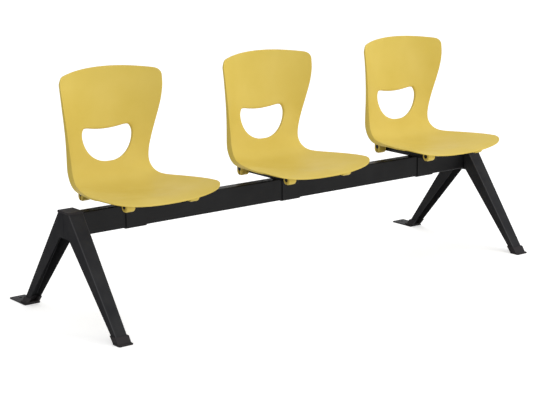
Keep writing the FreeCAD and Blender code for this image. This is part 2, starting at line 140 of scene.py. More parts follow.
def patches(tree, place, size_mm, detail, low, high, noise_low=NOISE_LOW):
    """Values that drift from low to high over patches about size_mm across."""
    blobs = {"Vector": place, "Scale": 1 / (size_mm * MM), "Detail": detail}
    noise = add_node(tree, "ShaderNodeTexNoise", blobs).outputs["Fac"]
    spread = {"Value": noise, "From Min": noise_low, "From Max": NOISE_HIGH, "To Min": low, "To Max": high}
    return add_node(tree, "ShaderNodeMapRange", spread).outputs["Result"]


def fine_relief(tree, place, size_mm, height_mm, strength):
    """Normals of a surface with bumps about size_mm across."""
    blobs = {"Vector": place, "Scale": 1 / (size_mm * MM), "Detail": 2.0}
    noise = add_node(tree, "ShaderNodeTexNoise", blobs).outputs["Fac"]
    bumps = {"Strength": strength, "Distance": height_mm * MM, "Height": noise}
    return add_node(tree, "ShaderNodeBump", bumps).outputs["Normal"]


print("most noise lies from", NOISE_LOW, "to", NOISE_HIGH)

# %% [markdown]
# ## Shell plastic
# The shells are injection-moulded polypropylene in a muted ochre yellow, from a spark-eroded mould.
# The eye reads that as an even colour with a soft, slightly waxy sheen and a very fine grain.
# A real grain of 0.3 mm would vanish at this distance, so it is drawn at 1.2 mm and kept shallow.
# Where the plastic flowed slowly the colour drifts a little, over hand-wide patches.

# %% Ochre polypropylene
FLOW_PATCH = 160.0
SHEEN_PATCH = 45.0
MOULD_GRAIN = 1.2


def moulded_polypropylene():
    material, tree, shader = new_material("ochre_moulded_polypropylene", Specular_IOR_Level=0.08)
    place = add_node(tree, "ShaderNodeTexCoord").outputs["Object"]
    drift = patches(tree, place, FLOW_PATCH, detail=3, low=0, high=1)
    tones = {"Factor": drift, "A": linear("#cfb655"), "B": linear("#d5bd60")}
    colour = add_node(tree, "ShaderNodeMix", tones, data_type="RGBA").outputs["Result"]
    tree.links.new(colour, shader.inputs["Base Color"])
    sheen = patches(tree, place, SHEEN_PATCH, detail=4, low=0.42, high=0.52)
    tree.links.new(sheen, shader.inputs["Roughness"])
    grain = fine_relief(tree, place, MOULD_GRAIN, height_mm=0.1, strength=0.12)
    tree.links.new(grain, shader.inputs["Normal"])
    return material


shell_plastic = moulded_polypropylene()
print("nodes in the shell plastic:", len(shell_plastic.node_tree.nodes))

# %% [markdown]
# ## Powder coat and moulded black
# The steel is powder coated: dust of polyester sprayed on and baked, which leaves a faint orange
# peel about 3 mm across. Beam and floor plates have a satin coat, and the legs a duller, fine one.
# Lids and feet are moulded grey nylon, duller and warmer, and the tube plugs are black nylon. At this
# distance coat and nylon differ only in colour, gloss and mirror, so one function makes them all.

# %% Black finishes
DUST_PATCH = 70.0
# Where the noise is below this, the coat is free of dust.
DUST_FROM = 0.35
GLOSS_PATCH = 25.0
# The roughness drifts from this much below its value to this much above.
SMOOTHER = 0.05
ROUGHER = 0.06
ORANGE_PEEL = 3.0


def black_finish(name, dark, pale, roughness, mirror):
    """A dusty black between two colours, whose roughness drifts a little round its value."""
    material, tree, shader = new_material(name, Specular_IOR_Level=mirror)
    place = add_node(tree, "ShaderNodeTexCoord").outputs["Object"]
    dust = patches(tree, place, DUST_PATCH, detail=4, low=0, high=1, noise_low=DUST_FROM)
    tones = {"Factor": dust, "A": linear(dark), "B": linear(pale)}
    colour = add_node(tree, "ShaderNodeMix", tones, data_type="RGBA").outputs["Result"]
    tree.links.new(colour, shader.inputs["Base Color"])
    low, high = roughness - SMOOTHER, roughness + ROUGHER
    gloss = patches(tree, place, GLOSS_PATCH, detail=3, low=low, high=high)
    tree.links.new(gloss, shader.inputs["Roughness"])
    peel = fine_relief(tree, place, ORANGE_PEEL, height_mm=0.15, strength=0.15)
    tree.links.new(peel, shader.inputs["Normal"])
    return material


# Each line: name, dark and pale colour, roughness, and how strongly it mirrors.
beam_coat = black_finish("satin_black_powder_coat", "#0f0f10", "#151516", 0.42, 0.12)
leg_coat = black_finish("charcoal_powder_coat", "#2c2c2e", "#343435", 0.60, 0.01)
plate_coat = black_finish("satin_charcoal_powder_coat", "#28282a", "#303032", 0.40, 0.035)
moulded_nylon = black_finish("moulded_grey_nylon", "#312f31", "#393738", 0.55, 0.025)
black_nylon = black_finish("moulded_black_nylon", "#121212", "#191919", 0.50, 0.15)
print("nodes in each black finish:", len(beam_coat.node_tree.nodes))

# %% [markdown]
# ## Painted highlights on the folds
# The folds of the legs catch the light in fine lighter lines, and here these highlights are painted into
# the coat's colour. They could be drawn as thin strips, but the mesh already tells where it folds: on a
# leg's web the normal has nothing sideways, on its sides it is all sideways, and in between lies the fold.

# %% Painted highlights along the leg folds
# How far sideways the normal points where the painted highlight line fades in, and where it fades out.
FADE_IN = (0.1, 0.4)
FADE_OUT = (0.7, 0.97)


def along_folds(tree):
    """1 in the middle of a fold between a leg's web and its sides, 0 on their flat faces."""
    normal = add_node(tree, "ShaderNodeTexCoord").outputs["Normal"]
    sideways = add_node(tree, "ShaderNodeSeparateXYZ", {"Vector": normal}).outputs["X"]
    share = add_node(tree, "ShaderNodeMath", {0: sideways}, operation="ABSOLUTE").outputs["Value"]
    rising = {"Value": share, "From Min": FADE_IN[0], "From Max": FADE_IN[1], "To Min": 0, "To Max": 1}
    falling = {"Value": share, "From Min": FADE_OUT[0], "From Max": FADE_OUT[1], "To Min": 1, "To Max": 0}
    both = {0: add_node(tree, "ShaderNodeMapRange", rising).outputs["Result"],
            1: add_node(tree, "ShaderNodeMapRange", falling).outputs["Result"]}
    return add_node(tree, "ShaderNodeMath", both, operation="MINIMUM").outputs["Value"]


def paint_fold_highlights(material, highlight_colour):
    """Lightens the colour of a finish along the folds, as a painted highlight where the folds catch the
    light.
    """
    tree = material.node_tree
    base = tree.nodes["Principled BSDF"].inputs["Base Color"]
    tones = {"Factor": along_folds(tree), "A": base.links[0].from_socket, "B": linear(highlight_colour)}
    highlighted = add_node(tree, "ShaderNodeMix", tones, data_type="RGBA").outputs["Result"]
    tree.links.new(highlighted, base)


# The lighter colour along the leg folds is a painted highlight.
paint_fold_highlights(leg_coat, "#454547")
print("nodes in the leg coat:", len(leg_coat.node_tree.nodes))

# %% [markdown]
# ## Finishes for the frame
# Each node of the frame names the kind of finish that it has in the workshop's list. The nodes keep
# their shapes, so all that is left is to give each one its material. The bolts hide in the steelwork
# and get its black. The floor plates are listed with the legs, but lie flat and catch the light, so
# they get the satin coat.

# %% Give the nodes their finishes
FINISHES = {
    "beam_black": beam_coat,
    "leg_black": leg_coat,
    "frame_black": beam_coat,
    "grey_moulding": moulded_nylon,
    "black_moulding": black_nylon,
    "zinc_fastener": beam_coat,
    "yellow_shell": shell_plastic,
}
slot_of = {part["node"]: part["material_slot"] for part in frame["record"]["subparts"]}
for name, node in nodes.items():
    finish = plate_coat if name.startswith("floor_plate") else FINISHES[slot_of[name]]
    node.data.materials.clear()
    node.data.materials.append(finish)
print("nodes with a finish:", len(nodes))

# %% [markdown]
# ## The shape of a shell
# One moulding makes pan and back. Its shape is set out as a boat builder would: a row of stations
# from the front edge, through the pan and up the back. Each gives its middle, half its width, where
# its side edge comes, how deep the turned rim is there, and how squarely the section turns up towards
# its sides. Curves through the stations give every point between. The stations are millimetres from
# the middle of the beam and from the floor.

# %% Stations
MIDDLE_Y, MIDDLE_Z, HALF_WIDTH, SIDE_Y, SIDE_Z, RIM, SQUARENESS = range(7)
STATIONS = [
    (-262, 411, 245, -272, 437, 1, 3),
    (-232, 422, 244, -232, 449, 1, 3),
    (-196, 427.5, 242, -196, 451, 1, 3),
    (-160, 428.5, 239, -157, 450.5, 1, 2.7),
    (-110, 425, 236.5, -110, 449.5, 1.5, 2.4),
    (-50, 421, 221, -50, 448, 3, 2.2),
    (8, 419, 203, 5, 446, 6, 2.2),
    (58, 423, 185, 46, 445, 9, 2.2),
    (98, 435, 171, 84, 447, 11, 2.2),
    (124, 460, 161, 112, 461, 15, 2.2),
    (135, 494, 156, 130, 488, 16, 2.2),
    (144, 535, 158, 132, 528, 13.5, 2.2),
    (154, 588, 168, 126, 582, 8, 2.2),
    (162, 645, 181, 114, 642, 6, 2.2),
    (168, 705, 194, 105, 700, 4, 2.2),
    (171, 755, 201, 103, 748, 3, 2.2),
    (173, 795, 203, 108, 785, 2, 2.2),
    (173, 835, 203, 112, 835, 2, 2.2),
]
LAST = len(STATIONS) - 1
print("stations:", len(STATIONS))

# %% Curves through the stations
def along(column, place):
    """Smooth curve through one column of the stations, at a place counted in stations."""
    i = min(max(int(math.floor(place)), 0), LAST - 1)
    share = place - i
    a, b, c, d = (STATIONS[min(max(k, 0), LAST)][column] for k in (i - 1, i, i + 1, i + 2))
    bend = (2 * a - 5 * b + 4 * c - d) * share ** 2 + (3 * b - a - 3 * c + d) * share ** 3
    return 0.5 * (2 * b + (c - a) * share + bend)


def on_shell(across, place):
    """Point of the sitting surface, in millimetres, at a share across and a place in stations."""
    rise = abs(across) ** along(SQUARENESS, place)
    y = along(MIDDLE_Y, place) + (along(SIDE_Y, place) - along(MIDDLE_Y, place)) * rise
    z = along(MIDDLE_Z, place) + (along(SIDE_Z, place) - along(MIDDLE_Z, place)) * rise
    return Vector((across * along(HALF_WIDTH, place), y, z))


print("height of the pan's side edge at station 5, in mm:", round(on_shell(1, 5).z))

# %% [markdown]
# ## From a flat pattern to a seat
# A seat could be sculpted, but a flat pattern is easier to keep tidy: a grid of squares, as wide as
# the shell and as long as its profile. It is worked flat, first the carry hole and then the rims,
# and only at the end is each corner moved to its place on the shell. The pattern's height above the
# table holds how far a corner lies behind the sitting surface.

# %% Cut out the pattern
COLUMNS = 24
ROWS = 2 * LAST


def deselect_everything():
    bpy.ops.object.select_all(action="DESELECT")


deselect_everything()
bpy.ops.mesh.primitive_grid_add(x_subdivisions=COLUMNS, y_subdivisions=ROWS, size=2)
shell = bpy.context.object
shell.name = "shell_pattern"
print("pattern faces:", len(shell.data.polygons))

# %% Between pattern and shell
# The pattern runs from -1 to 1 both ways, and the back starts at the station BACK_FROM.
BACK_FROM = 9.0
# Each search halves its range this many times.
HALVINGS = 40


def halve(low, high, is_low):
    """Narrows a range down to where is_low turns false."""
    for _ in range(HALVINGS):
        middle = (low + high) / 2
        if is_low(middle):
            low = middle
        else:
            high = middle
    return (low + high) / 2


def share_across(u):
    """Columns crowd towards the sides, where the rim turns."""
    return u * (1.5 - 0.5 * u * u)


def column_for(share):
    return halve(-1.0, 1.0, lambda u: share_across(u) < share)


def to_place(v):
    return (v + 1) / 2 * LAST


def from_place(place):
    return place / LAST * 2 - 1


def pattern_point(x, z):
    """Where a point of the back, seen from the front, lies on the flat pattern."""
    place = halve(BACK_FROM, float(LAST), lambda p: on_shell(x / along(HALF_WIDTH, p), p).z < z)
    return column_for(x / along(HALF_WIDTH, place)), from_place(place)


print("half of the columns lie within", share_across(0.5), "of the half width")

# %% [markdown]
# ## The carry hole
# The hole is shaped like a smile: a top edge that sags, small round corners and a deep round belly.
# A boolean cut would leave ragged faces that catch the light. Here a window is taken out of the
# pattern, and its border is drawn in, ring by ring, until it has the outline of the hole. The last
# rings roll back into a lip. It is widest above, where a hand lifts the seat and where it shows as a
# shaded band, and narrow below.

# %% Arcs through three points
ARC_POINTS = 24


def circle_through(a, b, c):
    """Centre and radius of the circle through three flat points."""
    turn = 2 * (a.x * (b.y - c.y) + b.x * (c.y - a.y) + c.x * (a.y - b.y))
    aa, bb, cc = a.length_squared, b.length_squared, c.length_squared
    centre = Vector(((aa * (b.y - c.y) + bb * (c.y - a.y) + cc * (a.y - b.y)) / turn,
                     (aa * (c.x - b.x) + bb * (a.x - c.x) + cc * (b.x - a.x)) / turn))
    return centre, (a - centre).length


def arc_through(a, b, c):
    """Points on the circle through a, b and c, from a to just before c."""
    centre = circle_through(a, b, c)[0]
    start = a - centre
    sweep = start.angle_signed(b - centre) + (b - centre).angle_signed(c - centre)
    points = []
    for i in range(ARC_POINTS):
        angle = -sweep * i / ARC_POINTS
        spun = Vector((start.x * math.cos(angle) - start.y * math.sin(angle),
                       start.x * math.sin(angle) + start.y * math.cos(angle)))
        points.append(centre + spun)
    return points


print("points on each arc:", ARC_POINTS)

# %% Outline of the hole
HOLE_HALF_WIDTH = 101.0
HOLE_TOP = 622.0
HOLE_SAG = 10.0
HOLE_BOTTOM = 503.0
HOLE_CORNER = 20.0
# The belly's round passes this share of the half width out, at this share of the way up to the corners.
BELLY_WIDTH = 0.72
BELLY_HEIGHT = 0.26


def hole_outline():
    """Points round the hole, as five arcs from stop to stop."""
    half = HOLE_HALF_WIDTH
    corner = HOLE_CORNER
    side = HOLE_TOP - corner
    knee = corner * math.sqrt(0.5)
    belly = HOLE_BOTTOM + (side - HOLE_BOTTOM) * BELLY_HEIGHT
    stops = [
        (corner - half, HOLE_TOP), (0, HOLE_TOP - HOLE_SAG), (half - corner, HOLE_TOP),
        (half - corner + knee, side + knee), (half, side),
        (half * BELLY_WIDTH, belly), (0, HOLE_BOTTOM), (-half * BELLY_WIDTH, belly), (-half, side),
        (corner - half - knee, side + knee), (corner - half, HOLE_TOP),
    ]
    stops = [Vector(stop) for stop in stops]
    outline = []
    for i in range(0, len(stops) - 1, 2):
        outline += arc_through(stops[i], stops[i + 1], stops[i + 2])
    return outline


HOLE = hole_outline()
print("hole from", round(min(p.y for p in HOLE)), "to", round(max(p.y for p in HOLE)), "mm up")

# %% Window in the pattern
WINDOW_COLUMNS = 7 / 12
WINDOW_ROWS = (9.5, 13.0)


def work_on(piece):
    deselect_everything()
    piece.select_set(True)
    bpy.context.view_layer.objects.active = piece


def select_only(piece, kind, wanted):
    """Selects the faces, edges or points of a mesh for which wanted is true."""
    mesh = piece.data
    for group in (mesh.vertices, mesh.edges, mesh.polygons):
        for item in group:
            item.select = False
    for item in getattr(mesh, kind):
        item.select = wanted(item)


def in_window(face):
    low, high = (from_place(row) for row in WINDOW_ROWS)
    return abs(face.center.x) < WINDOW_COLUMNS and low < face.center.y < high


work_on(shell)
select_only(shell, "polygons", in_window)
bpy.ops.object.mode_set(mode="EDIT")
bpy.ops.mesh.select_mode(type="FACE")
bpy.ops.mesh.delete(type="FACE")
bpy.ops.object.mode_set(mode="OBJECT")
print("pattern with window:", len(shell.data.polygons), "faces")

# %% Drawing out a border
def border_edges(piece):
    """Edges that only one face uses."""
    used = {}
    for face in piece.data.polygons:
        for key in face.edge_keys:
            used[key] = used.get(key, 0) + 1
    return {key for key, count in used.items() if count == 1}


def draw_out(piece, wanted, place):
    """Extrudes the border edges that wanted picks and puts each new point where place says."""
    open_edges = border_edges(piece)
    points = piece.data.vertices

    def picked(edge):
        key = tuple(sorted(edge.vertices))
        return key in open_edges and all(wanted(points[i].co) for i in key)

    select_only(piece, "edges", picked)
    bpy.ops.object.mode_set(mode="EDIT")
    bpy.ops.mesh.select_mode(type="EDGE")
    bpy.ops.mesh.extrude_edges_move()
    bpy.ops.object.mode_set(mode="OBJECT")
    for point in piece.data.vertices:
        if point.select:
            point.co = place(point.co.copy())


print("border edges:", len(border_edges(shell)))

# %% Rings of the lip
HOLE_MIDDLE = 566.0
FLAT_SHARE = 0.6
GRIP_ROLL = 8.0
BELLY_ROLL = 2.5
ROLL_TURNS = (0, 35, 65, 88)
LIP_DEPTH = 11.0


def hole_point_towards(x, z):
    """Where the line from the middle of the hole towards (x, z) crosses its outline."""
    centre = Vector((0, HOLE_MIDDLE))
    aim = Vector((x, z)) - centre
    for i, p in enumerate(HOLE):
        a = p - centre
        b = HOLE[(i + 1) % len(HOLE)] - centre
        cross_a = aim.x * a.y - aim.y * a.x
        cross_b = aim.x * b.y - aim.y * b.x
        if cross_a * cross_b <= 0 and (a + b).dot(aim) > 0:
            share = cross_a / (cross_a - cross_b) if cross_a != cross_b else 0
            return centre + a + (b - a) * share


def roll_at(target):
    """Radius of the rolled lip at a point of the hole's outline."""
    up = (target.y - HOLE_MIDDLE) / (HOLE_TOP - HOLE_SAG - HOLE_MIDDLE)
    return BELLY_ROLL + (GRIP_ROLL - BELLY_ROLL) * min(max(up, 0), 1)


def flat_ring(reach, roll):
    """A ring on the sitting surface, part of the way from the hole to the window."""
    return reach * FLAT_SHARE, 0


def rolled_ring(turn):
    """A ring on the round of the lip, so many degrees on from where the roll starts."""
    angle = math.radians(turn)
    return lambda reach, roll: (roll * (1 - math.sin(angle)), roll * (1 - math.cos(angle)))


def lip_end(reach, roll):
    """The end of the lip, straight behind the outline of the hole."""
    return 0, LIP_DEPTH


RINGS = [flat_ring, *(rolled_ring(turn) for turn in ROLL_TURNS), lip_end]
print("rings round the hole:", len(RINGS))

# %% Draw in the rings
# The pattern's own edge lies beyond EDGE. window_home remembers, for each point of a ring, the point of
# the window that it came from. A corner that lies 1 mm deep is raised by DEPTH_SCALE.
EDGE = 0.999
DEPTH_SCALE = 0.01
window_home = {}


def on_edge(co):
    return abs(co.x) > EDGE or abs(co.y) > EDGE


def inside_edge(co):
    return not on_edge(co)


def pattern_key(u, v):
    return round(u, 5), round(v, 5)


def ring_at(gap_and_depth):
    """Place for a ring, from the function that gives its gap to the hole's outline and its depth."""
    def place(co):
        start = window_home[pattern_key(co.x, co.y)]
        target = hole_point_towards(start.x, start.y)
        out = start - target
        gap, depth = gap_and_depth(out.length, roll_at(target))
        spot = target + out.normalized() * gap
        u, v = pattern_point(spot.x, spot.y)
        window_home[pattern_key(u, v)] = start
        return Vector((u, v, depth * DEPTH_SCALE))
    return place


for point in shell.data.vertices:
    seen = on_shell(share_across(point.co.x), to_place(point.co.y))
    window_home[pattern_key(point.co.x, point.co.y)] = Vector((seen.x, seen.z))

for ring in RINGS:
    draw_out(shell, inside_edge, ring_at(ring))
print("pattern with hole:", len(shell.data.polygons), "faces")

# %% [markdown]
# ## Rims
# The back's edge is turned away from the sitter, which stiffens it and gives it a soft, safe edge.
# The rim is deepest at the bend, where it also flares outwards, and fades out along the pan.
# Two extrusions make it: a short one that starts the turn, and a long one for the rim itself.

# %% Turned rim
WALL = 4.2
TURN_SHARE = 0.25


def rim_depth(co):
    """Depth behind the sitting surface: only the wall at the front edge, a turned rim elsewhere."""
    if abs(co.x) < EDGE and co.y < 0:
        return WALL
    return along(RIM, to_place(co.y)) + WALL


def rim_at(share):
    return lambda co: Vector((co.x, co.y, rim_depth(co) * share * DEPTH_SCALE))


for share in (TURN_SHARE, 1.0):
    draw_out(shell, on_edge, rim_at(share))
print("pattern with rims:", len(shell.data.polygons), "faces")

# %% [markdown]
# ## Bending the pattern
# Each corner of the pattern now goes to its place on the shell. The stations run on past the moulding
# at both ends, and the outermost rows are drawn in to its outline: a bowed front edge with round
# corners, and a crowned top edge. They crowd towards the edge, so that it stays crisp.

# %% Outline of the moulding
TOP_HEIGHT = 826.0
TOP_CROWN = 14.0
TOP_HALF_WIDTH = 203.0
TOP_CORNER = 24.0
PAN_MIDDLE = Vector((0, -241))
PAN_SHOULDER = Vector((172, -230.5))
PAN_CORNER = Vector((220, -206))
PAN_SIDE = Vector((238.5, -152))

far_shoulder = Vector((-PAN_SHOULDER.x, PAN_SHOULDER.y))
front_bow = circle_through(far_shoulder, PAN_MIDDLE, PAN_SHOULDER)
corner_arc = circle_through(PAN_SHOULDER, PAN_CORNER, PAN_SIDE)


def front_edge(x):
    """How far forward the pan reaches, seen from above."""
    centre, radius = corner_arc if abs(x) > PAN_SHOULDER.x else front_bow
    return centre.y - math.sqrt(max(radius ** 2 - (abs(x) - centre.x) ** 2, 0))


def top_height(x):
    """Height of the crowned top edge with its round corners."""
    straight = TOP_HALF_WIDTH - TOP_CORNER
    over = abs(x) - straight
    if over <= 0:
        return TOP_HEIGHT - TOP_CROWN * (x / straight) ** 2
    corner_middle = TOP_HEIGHT - TOP_CROWN - TOP_CORNER
    return corner_middle + math.sqrt(max(TOP_CORNER ** 2 - over ** 2, 0))


print("radius of the pan's corners, in mm:", round(corner_arc[1]))

# %% Draw the outer rows in to the outline
FRONT_ROWS_TO = 4
TOP_ROWS_FROM = 15


def before_front_edge(across):
    def test(place):
        spot = on_shell(across, place)
        return spot.y < front_edge(spot.x)
    return test


def below_top_edge(across):
    def test(place):
        spot = on_shell(across, place)
        return spot.z < top_height(spot.x)
    return test


def crowded(share):
    return 1 - share_across(1 - share)


def drawn_in(across, place):
    """Place on the moulding for a place on the pattern."""
    if place < FRONT_ROWS_TO:
        start = halve(0, FRONT_ROWS_TO, before_front_edge(across))
        return start + (FRONT_ROWS_TO - start) * crowded(place / FRONT_ROWS_TO)
    if place > TOP_ROWS_FROM:
        end = halve(TOP_ROWS_FROM, LAST, below_top_edge(across))
        left = (LAST - place) / (LAST - TOP_ROWS_FROM)
        return end - (end - TOP_ROWS_FROM) * crowded(left)
    return place


print("the middle of the front edge is at station", round(drawn_in(0, 0), 2))

# %% Bend
RIM_FLARE = 0.45


def away_from_sitter(place):
    """Direction square to the profile, out of the back and down from the pan."""
    step = 0.25
    before, after = max(place - step, 0), min(place + step, LAST)
    run_y = along(MIDDLE_Y, after) - along(MIDDLE_Y, before)
    run_z = along(MIDDLE_Z, after) - along(MIDDLE_Z, before)
    return Vector((0, run_z, -run_y)).normalized()


def seat_point(co):
    """Place on the shell, in metres, of a corner of the pattern."""
    across = share_across(co.x)
    place = drawn_in(across, to_place(co.y))
    depth = co.z / DEPTH_SCALE
    spot = on_shell(across, place) + away_from_sitter(place) * depth
    if abs(co.x) > EDGE:
        spot.x += math.copysign(RIM_FLARE * depth, co.x)
    return spot * MM


for point in shell.data.vertices:
    point.co = seat_point(point.co)
half_width = max(point.co.x for point in shell.data.vertices)
print("shell width over its rims, in m:", round(2 * half_width, 3))

# %% [markdown]
# ## Wall and smoothing
# The surface gets its wall on the side away from the sitter. Subdivision then rounds every edge by
# about the distance to the next ring, which is how a moulded edge looks. Both modifiers are applied,
# so the mesh is final. The normals are made to agree first, and turned over if the pan's middle face
# looks down, because the wall grows against them.

# %% Wall
SMOOTHING = 2
PAN_CENTRE_Y = -0.1

work_on(shell)
bpy.ops.object.mode_set(mode="EDIT")
bpy.ops.mesh.select_all(action="SELECT")
bpy.ops.mesh.normals_make_consistent(inside=False)
bpy.ops.object.mode_set(mode="OBJECT")
pan_face = min(shell.data.polygons, key=lambda f: abs(f.center.x) + abs(f.center.y - PAN_CENTRE_Y))
if pan_face.normal.z < 0:
    shell.data.flip_normals()
wall = shell.modifiers.new("wall", "SOLIDIFY")
wall.thickness = WALL * MM
wall.offset = -1
wall.use_even_offset = True
smooth = shell.modifiers.new("smooth", "SUBSURF")
smooth.levels = SMOOTHING
smooth.render_levels = SMOOTHING
for modifier in ("wall", "smooth"):
    bpy.ops.object.modifier_apply(modifier=modifier)
bpy.ops.object.shade_smooth()
shell.data.materials.append(shell_plastic)
print("shell faces:", len(shell.data.polygons))

# %% [markdown]
# ## Tools for solid pieces
# Sockets, arms and yokes are solid pieces with soft edges. They start as cylinders and blocks, exact
# booleans cut them where a tube passes, and a bevel rounds their edges. Placing each start by hand would
# do, but helpers that take millimetres keep the sizes readable, and put the place in the mesh.

# %% Cylinders and blocks
CYLINDER_CORNERS = 48


def lying_cylinder(radius, length, x, y, z):
    deselect_everything()
    bpy.ops.mesh.primitive_cylinder_add(vertices=CYLINDER_CORNERS, radius=radius * MM, depth=length * MM)
    piece = bpy.context.object
    lying = Matrix.Rotation(math.pi / 2, 4, "Y")
    piece.data.transform(Matrix.Translation((x * MM, y * MM, z * MM)) @ lying)
    return piece


def block(x0, x1, y0, y1, z0, z1):
    deselect_everything()
    bpy.ops.mesh.primitive_cube_add(size=1)
    piece = bpy.context.object
    size = Matrix.Diagonal(((x1 - x0) * MM, (y1 - y0) * MM, (z1 - z0) * MM, 1))
    middle = Vector((x0 + x1, y0 + y1, z0 + z1)) * (MM / 2)
    piece.data.transform(Matrix.Translation(middle) @ size)
    return piece


print("corners on each cylinder:", CYLINDER_CORNERS)

# %% Cut and round
SMOOTH_BELOW = math.radians(35)


def cut_away(piece, tool):
    cut = piece.modifiers.new("cut", "BOOLEAN")
    cut.object = tool
    cut.solver = "EXACT"
    work_on(piece)
    bpy.ops.object.modifier_apply(modifier="cut")
    bpy.data.objects.remove(tool)


def round_off(piece, width_mm, segments, **settings):
    """Bevels the edges that the settings pick."""
    bevel = piece.modifiers.new("round", "BEVEL")
    bevel.width = width_mm * MM
    bevel.segments = segments
    for name, value in settings.items():
        setattr(bevel, name, value)
    work_on(piece)
    bpy.ops.object.modifier_apply(modifier="round")


def soften_edges(piece, width_mm, sharper_than, material):
    """Rounds the sharp edges a little, shades the rest smooth and gives the piece its finish."""
    sharp = math.radians(sharper_than)
    round_off(piece, width_mm, segments=2, limit_method="ANGLE", angle_limit=sharp)
    bpy.ops.object.shade_smooth_by_angle(angle=SMOOTH_BELOW)
    piece.data.materials.append(material)


print("shaded smooth below, in degrees:", round(math.degrees(SMOOTH_BELOW)))

# %% [markdown]
# ## Sockets
# Four sockets under the pan hold the two cross tubes of the seat frame. Each is a post with a round
# foot, open below so that it snaps over the tube. It starts as a cylinder lying on its side, and the
# upper half is drawn up into the wall of the pan, in steps that follow the pan's curve. Its ends are
# rounded, except where they meet the pan, and then the bore and the mouth are cut.

# %% Up to the pan
SOCKET_RADIUS = 17.0
# The top lies this far under the sitting surface, with this many steps to each side of the tube.
SUNK_IN_WALL = 2.2
TOP_STEPS = 2
# Stations between which the pan lies.
PAN_FROM, PAN_TO = 1, 10
# Places that differ by less than this many millimetres count as the same.
HAIR = 0.5


def pan_height(x, y):
    """Height of the sitting surface over a place on the floor."""
    place = halve(PAN_FROM, PAN_TO, lambda p: on_shell(x / along(HALF_WIDTH, p), p).y < y)
    return on_shell(x / along(HALF_WIDTH, place), place).z


def draw_up_to_pan(post, tube_y, foot):
    """Moves the upper half of a lying cylinder to just inside the wall of the pan."""
    for point in post.data.vertices:
        if point.co.z > (foot + HAIR) * MM:
            offset = (point.co.y / MM - tube_y) / SOCKET_RADIUS
            y = tube_y + SOCKET_RADIUS * round(offset * TOP_STEPS) / TOP_STEPS
            top = pan_height(point.co.x / MM, y) - SUNK_IN_WALL
            point.co = (point.co.x, y * MM, top * MM)
    bpy.ops.object.mode_set(mode="EDIT")
    bpy.ops.mesh.select_all(action="SELECT")
    bpy.ops.mesh.remove_doubles(threshold=0.1 * MM)
    bpy.ops.object.mode_set(mode="OBJECT")


print("height of the pan over the middle of the beam, in mm:", round(pan_height(0, 0)))

# %% One socket
SOCKET_WIDTH = 35.0
SOCKET_MOUTH = 9.0
SOCKET_BORE = 8.3
SOCKET_ROUND = 5.0
SOCKET_EDGE = 0.7


def mark_rounded_ends(post, foot):
    """Marks the edges round both ends of a post, except where it meets the pan."""
    weights = post.data.attributes.new("bevel_weight_edge", "FLOAT", "EDGE")
    for edge in post.data.edges:
        a, b = (post.data.vertices[i].co for i in edge.vertices)
        on_end = abs(a.x - b.x) < HAIR * MM
        reaches_foot = min(a.z, b.z) < (foot + HAIR) * MM
        weights.data[edge.index].value = float(on_end and reaches_foot)


def socket(x, tube_y, tube_z, drop):
    """A post with a round foot, from the pan down over its tube."""
    foot = tube_z - drop
    post = lying_cylinder(SOCKET_RADIUS, SOCKET_WIDTH, x, tube_y, foot)
    draw_up_to_pan(post, tube_y, foot)
    mark_rounded_ends(post, foot)
    round_off(post, SOCKET_ROUND, segments=4, limit_method="WEIGHT")
    cut_away(post, lying_cylinder(SOCKET_BORE, SOCKET_WIDTH * 2, x, tube_y, tube_z))
    half_mouth = SOCKET_MOUTH / 2
    mouth = block(x - SOCKET_WIDTH, x + SOCKET_WIDTH, tube_y - half_mouth, tube_y + half_mouth,
                  tube_z - SOCKET_RADIUS * 2, tube_z)
    cut_away(post, mouth)
    soften_edges(post, SOCKET_EDGE, sharper_than=50, material=shell_plastic)
    return post


print("wall of a socket beside its tube, in mm:", round(SOCKET_RADIUS - SOCKET_BORE, 1))

# %% Four sockets on the shell
SOCKET_SPACING = 255.0
# How far the middle of a socket's foot lies below the middle of its tube.
SOCKET_DROPS = {"front": 2.0, "rear": 9.0}


def tube_line(low, high):
    """Place of a cross tube, in millimetres from the middle of the beam and from the floor."""
    return ((low.y + high.y) / 2 - beam_centre_y) / MM, (low.z + high.z) / 2 / MM


TUBE_BOXES = {row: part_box(row + "_tube_middle") for row in SOCKET_DROPS}
TUBES = {row: tube_line(*TUBE_BOXES[row]) for row in SOCKET_DROPS}
shell_parts = [shell]
for row, drop in SOCKET_DROPS.items():
    for side in (-1, 1):
        shell_parts.append(socket(side * SOCKET_SPACING / 2, *TUBES[row], drop))
work_on(shell)
for part in shell_parts:
    part.select_set(True)
bpy.ops.object.join()
print("shell and sockets:", len(shell.data.polygons), "faces")

# %% [markdown]
# ## Three shells
# The three shells come from one mould, so the finished one is copied. Linked copies would be lighter,
# but each copy gets its own mesh here, because its place is kept in its mesh.

# %% Copies in their places
SEATS = ("left", "middle", "right")


def seat_middle(seat):
    low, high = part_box("seat_shell_" + seat)
    return (low.x + high.x) / 2


def place_copy(pattern, name, x, node):
    """Copies a pattern to x, and hides the node of the frame whose place it takes."""
    mesh = pattern.data.copy()
    mesh.transform(Matrix.Translation((x, beam_centre_y, 0)))
    piece = bpy.data.objects.new(name, mesh)
    bpy.context.scene.collection.objects.link(piece)
    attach(piece, "root")
    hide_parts(node)


for seat in SEATS:
    place_copy(shell, "shell_" + seat, seat_middle(seat), "seat_shell_" + seat)
bpy.data.objects.remove(shell)
print("shells:", len(SEATS))

# %% [markdown]
# ## Seat frames
# Under each seat two pressed arms carry the cross tubes, and a yoke joins them over the clamp. From the
# front left a thin wedge of daylight shows between arms and beam, so the arms run almost level and the
# yoke is narrow where it sits on the beam. An arm is a bar, cut at the beam's edges so that its ends can
# be lifted to the tubes. An inset and an extrusion downwards then hollow it out, as a press would.

# %% Pressed arm
ARM_SPACING = 196.0
ARM_WIDTH = 20.0
ARM_SHEET = 2.5
